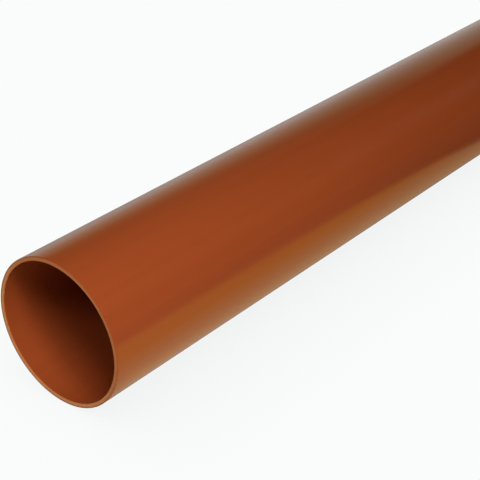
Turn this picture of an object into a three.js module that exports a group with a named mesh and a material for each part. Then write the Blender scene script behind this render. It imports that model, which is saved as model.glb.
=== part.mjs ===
// A length of plain-ended underground drain pipe in orange-brown uPVC.
// One extruded tube, sawn square at both ends, lying on its side.
//
// Frame, in millimetres: +X runs along the pipe, +Z is up, and the origin is
// on the ground under the middle of the length.

import * as THREE from "three";
import { mergeVertices } from "three/addons/utils/BufferGeometryUtils.js";

// Driving dimensions
const length = 3000; // a stock length, sawn end to sawn end
const outerDiameter = 110; // what a coupling or a socket seals on
const wallThickness = 3.2; // the standard wall at this diameter
const outerEdgeBreak = 0.4; // 45 degree deburring of the outside corner
const innerEdgeBreak = 0.5; // 45 degree deburring of the bore's corner
const facets = 96; // flats round the tube, one of them facing down

// Worked out from them
const outerRadius = outerDiameter / 2;
const boreRadius = outerRadius - wallThickness;
const facetAngle = (2 * Math.PI) / facets;
// The middle of a flat is a little nearer the axis than its two corners.
const axisHeight = outerRadius * Math.cos(facetAngle / 2);

// The wall's section, from one end face to the other: x is the distance from
// the pipe's axis and y is the place along it. Each end face is flat between
// its two broken edges. The outline closes on its first point.
function wallSection() {
  const end = length / 2;
  const corners = [
    [boreRadius, -end + innerEdgeBreak],
    [boreRadius + innerEdgeBreak, -end],
    [outerRadius - outerEdgeBreak, -end],
    [outerRadius, -end + outerEdgeBreak],
    [outerRadius, end - outerEdgeBreak],
    [outerRadius - outerEdgeBreak, end],
    [boreRadius + innerEdgeBreak, end],
    [boreRadius, end - innerEdgeBreak],
  ];
  corners.push(corners[0]);
  return corners.map(([radius, along]) => new THREE.Vector2(radius, along));
}

// The section turned a full circle about +Y, starting on a corner so that the
// middle of a flat, and not a corner, ends up underneath.
function tubeGeometry() {
  const turned = new THREE.LatheGeometry(wallSection(), facets, facetAngle / 2);
  turned.deleteAttribute("normal");
  turned.deleteAttribute("uv");
  const closed = mergeVertices(turned);
  closed.computeVertexNormals();
  return closed;
}

function pipeMaterial() {
  return new THREE.MeshStandardMaterial({
    color: 0xa04b24,
    roughness: 0.3,
    metalness: 0,
  });
}

function makePipe() {
  const pipe = new THREE.Mesh(tubeGeometry(), pipeMaterial());
  pipe.name = "pipe";
  pipe.rotation.z = -Math.PI / 2; // lays the lathe's +Y along +X
  pipe.position.z = axisHeight;
  return pipe;
}

const drainPipe = new THREE.Group();
drainPipe.add(makePipe());

export default drainPipe;
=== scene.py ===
"""The looks of a length of plain-ended underground drain pipe.

The wall is turned round the pipe's axis with fine, softly broken edges, and
is dressed as orange-brown plastic: a smooth extruded skin, sawn end faces
and burred inner corners. It lies on a pale floor under soft studio light.

Lengths are in metres. Values that are chosen have names in capitals, and
those that are worked out don't.
"""

import math

import bmesh
import bpy
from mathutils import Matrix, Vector


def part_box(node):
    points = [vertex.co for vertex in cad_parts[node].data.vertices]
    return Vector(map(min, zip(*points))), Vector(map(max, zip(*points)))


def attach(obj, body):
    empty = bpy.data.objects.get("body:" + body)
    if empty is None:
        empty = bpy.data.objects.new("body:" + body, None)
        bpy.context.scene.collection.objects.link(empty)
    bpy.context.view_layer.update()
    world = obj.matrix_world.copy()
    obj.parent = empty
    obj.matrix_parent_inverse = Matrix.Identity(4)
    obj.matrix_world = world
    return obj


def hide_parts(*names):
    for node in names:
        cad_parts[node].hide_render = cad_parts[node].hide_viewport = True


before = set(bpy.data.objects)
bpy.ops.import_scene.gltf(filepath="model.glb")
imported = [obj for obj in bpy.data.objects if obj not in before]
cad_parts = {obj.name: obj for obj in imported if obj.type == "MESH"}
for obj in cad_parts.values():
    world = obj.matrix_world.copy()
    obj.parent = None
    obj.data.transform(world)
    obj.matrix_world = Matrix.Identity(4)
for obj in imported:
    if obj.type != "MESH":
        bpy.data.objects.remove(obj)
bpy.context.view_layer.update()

MM = 0.001

# ---------------------------------------------------------------- the pipe's sizes
WALL = 3.2 * MM
OUTER_BREAK = 0.4 * MM  # softened outside corner of a sawn end
BORE_BREAK = 0.5 * MM  # softened corner between a sawn end and the bore
BREAK_STEPS = 4  # steps across a softened corner
ROUND_STEPS = 256  # steps round the pipe
END_BAND = 1.5 * MM  # from a sawn end to the first edge loop
LOOP_SPACING = 100 * MM  # between the edge loops along the pipe
SAME_PLACE = 0.001 * MM  # points nearer than this are one

low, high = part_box("pipe")
near_end, far_end = low.x, high.x
outer_radius = (high.z - low.z) / 2
axis_height = (high.z + low.z) / 2
bore_radius = outer_radius - WALL
mouth = Vector((near_end, 0, axis_height))


# ---------------------------------------------------------------- shader building blocks
def socket_of(sockets, wanted):
    """A socket by its number, or by its name among those that the node has in use."""
    if isinstance(wanted, int):
        return sockets[wanted]
    return next(socket for socket in sockets if socket.enabled and socket.name == wanted)


class Value:
    """A number, colour or vector on a socket, which adds its own nodes when it is in a sum."""

    def __init__(self, recipe, socket):
        self.recipe = recipe
        self.socket = socket

    def __add__(self, other):
        return self.recipe.maths("ADD", self, other)

    def __radd__(self, other):
        return self.recipe.maths("ADD", other, self)

    def __sub__(self, other):
        return self.recipe.maths("SUBTRACT", self, other)

    def __rsub__(self, other):
        return self.recipe.maths("SUBTRACT", other, self)

    def __mul__(self, other):
        return self.recipe.maths("MULTIPLY", self, other)

    def __rmul__(self, other):
        return self.recipe.maths("MULTIPLY", other, self)

    def __abs__(self):
        return self.recipe.maths("ABSOLUTE", self)

    def at_least(self, least):
        return self.recipe.maths("MAXIMUM", self, least)

    def ramp(self, start, end, before=0.0, after=1.0, course="LINEAR"):
        """`before` up to start and `after` from end, with an even course between."""
        sockets = {
            "Value": self,
            "From Min": start,
            "From Max": end,
            "To Min": before,
            "To Max": after,
        }
        return self.recipe.node("ShaderNodeMapRange", {"interpolation_type": course}, sockets)

    def soft_step(self, start, end, before=0.0, after=1.0):
        """`before` up to start and `after` from end, with a soft step between."""
        return self.ramp(start, end, before, after, "SMOOTHSTEP")

    def stretched(self, x, y, z):
        """A vector with each axis scaled by itself."""
        sockets = {0: self, 1: (x, y, z)}
        return self.recipe.node("ShaderNodeVectorMath", {"operation": "MULTIPLY"}, sockets)

    def axes(self):
        """A vector's x, y and z."""
        parts = self.recipe.node("ShaderNodeSeparateXYZ", {}, {"Vector": self}).socket.node
        return [Value(self.recipe, parts.outputs[axis]) for axis in "XYZ"]


class Recipe:
    """The node tree of a material or of the world."""

    def __init__(self, owner):
        owner.use_nodes = True
        self.owner = owner
        self.tree = owner.node_tree
        self.tree.nodes.clear()

    def node(self, kind, settings=None, sockets=None, output=0):
        """Adds one node of any kind and returns one of its outputs, if it has any."""
        made = self.tree.nodes.new(kind)
        for name, setting in (settings or {}).items():
            setattr(made, name, setting)
        for wanted, given in (sockets or {}).items():
            socket = socket_of(made.inputs, wanted)
            if isinstance(given, Value):
                self.tree.links.new(given.socket, socket)
            else:
                socket.default_value = given
        return Value(self, socket_of(made.outputs, output)) if made.outputs else None

    def maths(self, operation, *inputs):
        """One Math node."""
        return self.node("ShaderNodeMath", {"operation": operation}, dict(enumerate(inputs)))

    def place(self):
        """Where a point of the piece is, in metres."""
        return self.node("ShaderNodeTexCoord", output="Object")

    def noise(self, where, scale=1.0, detail=2.0, roughness=0.5):
        """Soft random values round 0.5, with `scale` grains to a unit of `where`."""
        sockets = {"Vector": where, "Scale": scale, "Detail": detail, "Roughness": roughness}
        return self.node("ShaderNodeTexNoise", {}, sockets)

    def mix(self, factor, first, second):
        """A blend from the first colour to the second."""
        sockets = {"Factor": factor, "A": first, "B": second}
        return self.node("ShaderNodeMix", {"data_type": "RGBA"}, sockets, "Result")

    def scaled(self, tint, level):
        """A colour made brighter or darker by a level."""
        sockets = {0: tint if isinstance(tint, Value) else tint[:3], "Scale": level}
        return self.node("ShaderNodeVectorMath", {"operation": "SCALE"}, sockets)

    def bump(self, height, depth):
        """Relief in which a height of 1 stands `depth` metres proud."""
        return self.node("ShaderNodeBump", {}, {"Height": height, "Distance": depth}, "Normal")

    def rays(self, *kinds):
        """For each kind of ray, 1 where the surface is met by one and 0 otherwise."""
        outputs = self.node("ShaderNodeLightPath").socket.node.outputs
        return [Value(self, outputs[kind]) for kind in kinds]

    def shining(self, tint):
        """A surface that shows its colour in full and takes no light."""
        return self.node("ShaderNodeEmission", {}, {"Color": tint, "Strength": 1.0})

    def surroundings(self, tint):
        """The same for the air round everything."""
        return self.node("ShaderNodeBackground", {}, {"Color": tint, "Strength": 1.0})

    def choose(self, factor, first, second):
        """The first shader where the factor is 0, and the second where it is 1."""
        return self.node("ShaderNodeMixShader", {}, {0: factor, 1: first, 2: second})

    def finish(self, surface, kind="ShaderNodeOutputMaterial"):
        """Puts the surface on the material or world, and returns that."""
        self.node(kind, {}, {"Surface": surface})
        return self.owner


def colour(red, green, blue):
    """A colour given as the 0 to 255 of a paint chart, as the linear colour of a shader."""

    def linear(part):
        return part / 12.92 if part < 0.04045 else ((part + 0.055) / 1.055) ** 2.4

    return (linear(red / 255), linear(green / 255), linear(blue / 255), 1.0)


# ---------------------------------------------------------------- the pipe's materials
TERRACOTTA = colour(163, 75, 36)
TERRACOTTA_DEEP = colour(156, 71, 32)
SAWN = colour(192, 108, 47)
SAWN_DEEP = colour(175, 92, 35)
# Pale burrs, and also painted highlights on the sawn end's inner edges.
BURR_AND_HIGHLIGHT = colour(226, 164, 108)
PLASTIC_IOR = 1.53
SKIN_ROUGHNESS = 0.2
SAWN_ROUGHNESS = 0.5
CORNER_ROUGHNESS = 0.4
SKIN_RELIEF = 0.005 * MM
SAW_RELIEF = 0.04 * MM
LOW_HIGHLIGHT_WHITE = 0.3  # how much of the pale colour the painted highlight low on an inner corner has
FLECK_WHITE = 0.42  # and how much its flecks have

# How many grains of each pattern go to a metre: along the pipe, across it and up, or all ways.
DIE_LINES = (0.5, 160, 160)
CLOUDS = (4, 14, 14)
ORANGE_PEEL = 420.0
SAW_SCORES = (0, 60, 1400)
POWDER = 700.0
HIGHLIGHT_PATCHES = 260.0
FLECKS = 600.0

# The noise values between which each pattern goes from nothing to full.
SHADE_SPREAD = (0.3, 0.7)
HIGHLIGHT_PATCH_SPREAD = (0.2, 0.6)
FLECK_SPREAD = (0.56, 0.66)

# The pale ring of a sawn face: partly whitening from the saw, and partly a painted highlight where
# its inner edge catches the light.
RING_START = (-0.3 * MM, 1.0 * MM)  # where it comes in, measured outwards from the bore
RING_END = (1.4 * MM, 2.6 * MM)  # and where it goes out again
RING_LEAN = 0.8  # how much its strong side, which is low down, is turned towards +Y; that lit side is mostly painted highlight
RING_BLUR = 30 * MM  # how softly it weakens towards the other side, each way
RING_WEAK = 0.25  # how much of it there is on that side


def extruded_skin():
    """The semi-gloss skin left by the die and the cooling sleeve, with faint lines along it."""
    recipe = Recipe(bpy.data.materials.new("extruded_skin"))
    place = recipe.place()
    die_lines = recipe.noise(place.stretched(*DIE_LINES), detail=4.0, roughness=0.6)
    clouds = recipe.noise(place.stretched(*CLOUDS), detail=3.0)
    peel = recipe.noise(place, ORANGE_PEEL)
    shade = (0.55 * clouds + 0.45 * die_lines).soft_step(*SHADE_SPREAD)
    shader = recipe.node("ShaderNodeBsdfPrincipled", {}, {
        "Base Color": recipe.mix(shade, TERRACOTTA_DEEP, TERRACOTTA),
        "Roughness": SKIN_ROUGHNESS + 0.06 * die_lines,
        "IOR": PLASTIC_IOR,
        "Normal": recipe.bump(die_lines + 0.35 * peel, SKIN_RELIEF),
    })
    return recipe.finish(shader)


def sawn_face():
    """The flat left by the saw: paler, matt and scored, with a pale ring near the bore that is
    partly whitening from the saw and partly a painted highlight on its lit side.
    """
    recipe = Recipe(bpy.data.materials.new("sawn_face"))
    place = recipe.place()
    scores = recipe.noise(place.stretched(*SAW_SCORES), detail=3.0, roughness=0.7)
    powder = recipe.noise(place, POWDER, detail=3.0)
    _, across, up = place.axes()
    above_axis = up - axis_height
    from_bore = recipe.maths("SQRT", across * across + above_axis * above_axis) - bore_radius
    ring = from_bore.soft_step(*RING_START) - from_bore.soft_step(*RING_END)
    # Painted highlight: the ring is strong on the side that the light falls on, and weak on the
    # other.
    leaning = above_axis - RING_LEAN * across
    lit_side_weight = leaning.soft_step(-RING_BLUR, RING_BLUR, before=1, after=RING_WEAK)
    whitening_and_highlight = ring * lit_side_weight * (0.3 + 0.7 * powder)
    shade = (0.6 * scores + 0.4 * powder).soft_step(*SHADE_SPREAD)
    shader = recipe.node("ShaderNodeBsdfPrincipled", {}, {
        "Base Color": recipe.mix(whitening_and_highlight, recipe.mix(shade, SAWN_DEEP, SAWN), BURR_AND_HIGHLIGHT),
        "Roughness": SAWN_ROUGHNESS + 0.15 * powder,
        "IOR": PLASTIC_IOR,
        "Normal": recipe.bump(scores, SAW_RELIEF),
    })
    return recipe.finish(shader)


def burred_corner():
    """The sawn end's inner corner, flecked with pale burrs, and with a patchy painted highlight low
    down, where it faces up towards the light.
    """
    recipe = Recipe(bpy.data.materials.new("burred_corner"))
    place = recipe.place()
    up = place.axes()[2]
    patchy_highlight = recipe.noise(place, HIGHLIGHT_PATCHES, detail=3.0).soft_step(*HIGHLIGHT_PATCH_SPREAD)
    # Painted highlight on the lower half of the corner, which faces up towards the lamps.
    lit_low_down = up.soft_step(0, axis_height, before=1, after=0)
    flecks = recipe.noise(place, FLECKS, detail=1.0).soft_step(*FLECK_SPREAD)
    whitening_and_highlight = (LOW_HIGHLIGHT_WHITE * patchy_highlight * lit_low_down).at_least(FLECK_WHITE * flecks)
    shader = recipe.node("ShaderNodeBsdfPrincipled", {}, {
        "Base Color": recipe.mix(whitening_and_highlight, SAWN, BURR_AND_HIGHLIGHT),
        "Roughness": CORNER_ROUGHNESS + 0.1 * whitening_and_highlight,
        "IOR": PLASTIC_IOR,
    })
    return recipe.finish(shader)


# ---------------------------------------------------------------- the pipe's wall
SKIN, FACE, CORNER = range(3)  # the wall's material slots
SAWN_SLANT = 0.999  # the least part that a sawn face's normal has along the pipe
CORNER_SLANT = 0.05  # and a softened corner's


def wall_section():
    """The wall cut along the pipe on its upper side: one flat face with softly broken corners."""
    section = bmesh.new()
    inside, outside = axis_height + bore_radius, axis_height + outer_radius
    corners = [(near_end, inside), (near_end, outside), (far_end, outside), (far_end, inside)]
    section.faces.new([section.verts.new((x, 0, z)) for x, z in corners])
    for height, size in ((outside, OUTER_BREAK), (inside, BORE_BREAK)):
        bmesh.ops.bevel(
            section,
            geom=[vert for vert in section.verts if abs(vert.co.z - height) < SAME_PLACE],
            offset=size,
            offset_type="OFFSET",
            segments=BREAK_STEPS,
            profile=0.5,
            affect="VERTICES",
            material=-1,
        )
    return section


def add_loop(shape, x):
    """Adds an edge loop round the pipe at a place along it."""
    bmesh.ops.bisect_plane(
        shape,
        geom=shape.verts[:] + shape.edges[:] + shape.faces[:],
        dist=SAME_PLACE,
        plane_co=(x, 0, 0),
        plane_no=(1, 0, 0),
    )


def finish_of(face):
    """The material slot of one of the wall's faces."""
    slant = abs(face.normal.x)
    from_axis = (face.calc_center_median() - mouth).yz.length
    if slant > SAWN_SLANT:
        return FACE
    if slant > CORNER_SLANT and from_axis < bore_radius + BORE_BREAK:
        return CORNER
    return SKIN


def pipe_wall():
    """The whole wall, turned from its section."""
    shape = wall_section()
    bmesh.ops.delete(shape, geom=shape.faces[:], context="FACES_ONLY")
    bmesh.ops.spin(
        shape,
        geom=shape.verts[:] + shape.edges[:],
        cent=mouth,
        axis=(1, 0, 0),
        dvec=(0, 0, 0),
        angle=2 * math.pi,
        steps=ROUND_STEPS,
        use_merge=True,
    )
    bmesh.ops.remove_doubles(shape, verts=shape.verts, dist=SAME_PLACE)
    bmesh.ops.recalc_face_normals(shape, faces=shape.faces)
    add_loop(shape, near_end + END_BAND)
    add_loop(shape, far_end - END_BAND)
    for step in range(1, round((far_end - near_end) / LOOP_SPACING)):
        add_loop(shape, near_end + step * LOOP_SPACING)
    for face in shape.faces:
        face.smooth = True
        face.material_index = finish_of(face)
    mesh = bpy.data.meshes.new("pipe_wall")
    shape.to_mesh(mesh)
    shape.free()
    for material in (extruded_skin(), sawn_face(), burred_corner()):
        mesh.materials.append(material)
    return bpy.data.objects.new("pipe_wall", mesh)


# ---------------------------------------------------------------- the floor
BACKGROUND = colour(250, 252, 251)
FLOOR_WIDTH = 24.0
FLOOR_GREY = (0.8, 0.8, 0.8, 1)  # the floor as it lights the pipe from below
SHADOW_DEPTH = 0.1  # how dark the floor gets where the pipe shuts out the whole sky
SHADOW_REACH = 0.1  # how far the pipe's shade reaches

# The pipe mirrors the floor in front of it as a sheet that its own colour warms: painted bounce
# light from the pipe, with painted shade close under the pipe and before its mouth. A pair says
# where one colour or level gives way to another, outwards from the axis or inwards from the mouth.
GLOW_UNDER = (0.88, 0.78, 0.62, 1)  # under the pipe's side
GLOW_CLOSE = (1.08, 0.71, 0.32, 1)  # beside the pipe, and before its mouth
GLOW_FURTHER = (1.1, 0.6, 0.03, 1)  # and further out
UNDER_TO_CLOSE = (0.025, 0.05)
CLOSE_TO_FURTHER = (0.06, 0.13)
MOUTH_TO_SIDE = (-0.02, 0.02)
UNDER_LEVEL = 0.35  # close under the pipe the glow is dimmer, as painted shade
UNDER_TO_OPEN = (0.01, 0.055)
MOUTH_LEVEL = 0.4  # and so it is before the mouth, as painted shade too
MOUTH_TO_FULL = (-0.04, 0.05)
FADE_START, FADE_END = 1.02, 0.4  # it fades along the pipe, and as much before the mouth
FADE_LENGTH = 0.775
SHEET_REACH = 0.33955  # how far the sheet comes forward from the axis, level with the mouth
SHEET_SLOPE = 0.497  # how fast its front edge nears the pipe
SHEET_NEAREST = 0.078  # and where that edge stops nearing
SHEET_BLUR = 0.01  # how soft that edge is, each way

# It mirrors the open floor behind it as a grey, which grows paler outwards and along the pipe.
# Close to the pipe it is darker as painted shade.
GREY_BEHIND = (0.63, 0.67, 0.63, 1)
FRONT_TO_BEHIND = (0.12, 0.2)
LEVEL_CLOSE, LEVEL_FAR_OUT = 0.55, 0.88
CLOSE_TO_FAR_OUT = (0.1, 0.6)
LEVEL_NEAR_END, LEVEL_FAR_END = 1.04, 1.49


def glow_in_front(recipe, from_end, from_axis):
    """What the pipe mirrors of the floor in front of it."""
    beside = recipe.mix(from_axis.soft_step(*CLOSE_TO_FURTHER), GLOW_CLOSE, GLOW_FURTHER)
    before_mouth = from_end.soft_step(*MOUTH_TO_SIDE, before=1, after=0)
    clear_of_pipe = from_axis.soft_step(*UNDER_TO_CLOSE).at_least(before_mouth)
    # Painted shade: the glow is dimmed close under the pipe and before its mouth.
    under = from_axis.soft_step(*UNDER_TO_OPEN, before=UNDER_LEVEL)
    mouth_side = from_end.soft_step(*MOUTH_TO_FULL, before=MOUTH_LEVEL)
    fading = abs(from_end).ramp(0, FADE_LENGTH, before=FADE_START, after=FADE_END)
    return recipe.scaled(recipe.mix(clear_of_pipe, GLOW_UNDER, beside), under * mouth_side * fading)


def grey_behind(recipe, from_end, across):
    """What the pipe mirrors of the floor behind it."""
    # Painted shade: the grey is darker close to the pipe.
    outwards = across.soft_step(*CLOSE_TO_FAR_OUT, before=LEVEL_CLOSE, after=LEVEL_FAR_OUT)
    along = from_end.ramp(0, far_end - near_end, before=LEVEL_NEAR_END, after=LEVEL_FAR_END)
    return recipe.scaled(GREY_BEHIND, outwards * along)


def mirrored_floor(recipe):
    """The floor as the pipe mirrors it: a sheet, and only dark before the sheet's front edge."""
    along, across, _ = recipe.place().axes()
    from_end = along - near_end
    in_front = glow_in_front(recipe, from_end, abs(across))
    behind = grey_behind(recipe, from_end, across)
    sheet = recipe.mix(across.soft_step(*FRONT_TO_BEHIND), in_front, behind)
    front_edge = (SHEET_REACH - SHEET_SLOPE * from_end).at_least(SHEET_NEAREST)
    on_sheet = (front_edge + across).soft_step(-SHEET_BLUR, SHEET_BLUR)
    return recipe.shining(recipe.scaled(sheet, on_sheet))


def seen_floor(recipe):
    """The floor as the camera sees it: pale, with a soft trace of shade under the pipe."""
    sockets = {"Distance": SHADOW_REACH}
    open_sky = recipe.node("ShaderNodeAmbientOcclusion", {"samples": 8}, sockets, "AO")
    return recipe.shining(recipe.scaled(BACKGROUND, 1 - SHADOW_DEPTH * (1 - open_sky)))


def pale_floor():
    """A flat floor: one look for the camera, one for mirrored rays, and grey for all others."""
    shape = bmesh.new()
    bmesh.ops.create_grid(shape, x_segments=1, y_segments=1, size=FLOOR_WIDTH / 2)
    mesh = bpy.data.meshes.new("floor")
    shape.to_mesh(mesh)
    shape.free()
    recipe = Recipe(bpy.data.materials.new("pale_floor"))
    camera_ray, glossy_ray = recipe.rays("Is Camera Ray", "Is Glossy Ray")
    lit = recipe.node("ShaderNodeBsdfDiffuse", {}, {"Color": FLOOR_GREY})
    plain = recipe.choose(camera_ray, lit, seen_floor(recipe))
    mesh.materials.append(recipe.finish(recipe.choose(glossy_ray, plain, mirrored_floor(recipe))))
    recipe.owner.cycles.emission_sampling = "NONE"  # what it shows lights nothing
    return bpy.data.objects.new("floor", mesh)


# ---------------------------------------------------------------- the air
# The pipe mirrors a pale wall behind it that rises towards both ends. The air has directions but
# no places, so lengths here are parts of a direction that is 1 long.
WALL_FOOT = (0.64, 0.71, 0.645, 1)
WALL_TOP = (0.37, 0.39, 0.13, 1)
WALL_FADE = 0.4  # how far below the top edge the colour is the foot's
WALL_SLOPE = 0.85  # the wall's height, as a part of how far it is along the pipe
WALL_DROP = 0.155  # less this much
WALL_LEAST = 0.2  # and never lower than this
WALL_SIDE = 0.3  # how far back its two ends are, as a part of how far they are along the pipe
WALL_TOP_BLUR = 0.07  # how soft the top edge is, each way
WALL_SIDE_BLUR = 0.03  # and each end


def mirrored_wall(recipe):
    """The colours of the air as the pipe mirrors it: dark, with a pale wall."""
    along, across, up = recipe.node("ShaderNodeTexCoord", output="Generated").axes()
    below_top = (WALL_SLOPE * abs(along) - WALL_DROP).at_least(WALL_LEAST) - up
    past_side = across - WALL_SIDE * abs(along)
    under_top = below_top.soft_step(-WALL_TOP_BLUR, WALL_TOP_BLUR)
    between_sides = past_side.soft_step(-WALL_SIDE_BLUR, WALL_SIDE_BLUR)
    wall_colour = recipe.mix(below_top.ramp(0, WALL_FADE), WALL_TOP, WALL_FOOT)
    return recipe.scaled(wall_colour, under_top * between_sides)


def studio_air():
    """Air that is pale to the camera, has a wall for mirrored rays and is dark to all others."""
    world = bpy.data.worlds.new("studio")
    bpy.context.scene.world = world
    recipe = Recipe(world)
    camera_ray, glossy_ray = recipe.rays("Is Camera Ray", "Is Glossy Ray")
    seen = recipe.scaled(BACKGROUND, camera_ray)
    air = recipe.surroundings(recipe.mix(glossy_ray, seen, mirrored_wall(recipe)))
    recipe.finish(air, "ShaderNodeOutputWorld")
    world.cycles.sampling_method = "NONE"  # what it shows lights nothing either


# ---------------------------------------------------------------- the lamps and the camera
CAMERA_AIM = Vector((0.1896, 0, -0.0121))  # where the camera looks, from the middle of the mouth
CAMERA_AZIMUTH = 50.73
CAMERA_ELEVATION = 29.38
CAMERA_DISTANCE = 0.9718
CAMERA_LENS = 95.76


def direction(azimuth, elevation):
    """The way to something at an azimuth, which turns from -Y towards -X, and an elevation."""
    around, above = math.radians(azimuth), math.radians(elevation)
    return Vector((
        -math.sin(around) * math.cos(above),
        -math.cos(around) * math.cos(above),
        math.sin(above),
    ))


def stand(thing, target, azimuth, elevation, distance):
    """Puts a lamp or a camera into the scene, at a distance from its target and facing it."""
    away = direction(azimuth, elevation)
    thing.location = target + away * distance
    thing.rotation_euler = away.to_track_quat("Z", "Y").to_euler()
    bpy.context.collection.objects.link(thing)


def soft_lamp(name, target, azimuth, elevation, distance, size, watts):
    """A lamp of a width and height. The pipe doesn't mirror it."""
    light = bpy.data.lights.new(name, "AREA")
    light.shape = "RECTANGLE"
    light.size, light.size_y = size
    light.energy = watts
    lamp = bpy.data.objects.new(name, light)
    lamp.visible_glossy = False
    stand(lamp, target, azimuth, elevation, distance)


def camera():
    """Looks down along the pipe from before its near end."""
    data = bpy.data.cameras.new("camera")
    data.lens = CAMERA_LENS
    data.sensor_width = 36
    data.clip_start = 0.01
    made = bpy.data.objects.new("camera", data)
    stand(made, mouth + CAMERA_AIM, CAMERA_AZIMUTH, CAMERA_ELEVATION, CAMERA_DISTANCE)
    bpy.context.scene.camera = made


def on_axis(inwards):
    """A point on the pipe's axis, some metres in from the mouth."""
    return mouth + Vector((inwards, 0, 0))


# ---------------------------------------------------------------- everything in its place
pipe = pipe_wall()
bpy.context.collection.objects.link(pipe)
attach(pipe, "root")
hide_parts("pipe")

floor = pale_floor()
bpy.context.collection.objects.link(floor)

studio_air()
by_the_mouth = on_axis(0.1)
soft_lamp(
    "near_key", by_the_mouth, azimuth=40, elevation=48, distance=0.8,
    size=(0.2, 0.2), watts=2.85,
)
soft_lamp(
    "far_key", by_the_mouth, azimuth=20, elevation=44, distance=1.6,
    size=(0.25, 0.25), watts=7.6,
)
soft_lamp(
    "mouth_side", by_the_mouth, azimuth=80, elevation=45, distance=1.6,
    size=(0.4, 0.4), watts=4.35,
)
soft_lamp(
    "front_strip", on_axis(2.55), azimuth=0, elevation=50, distance=0.8,
    size=(2.9, 0.25), watts=12.5,
)
soft_lamp(
    "back_strip", on_axis(1.9), azimuth=180, elevation=5, distance=0.8,
    size=(3.4, 0.25), watts=13.8,
)
camera()

bpy.context.scene.view_settings.view_transform = "Standard"
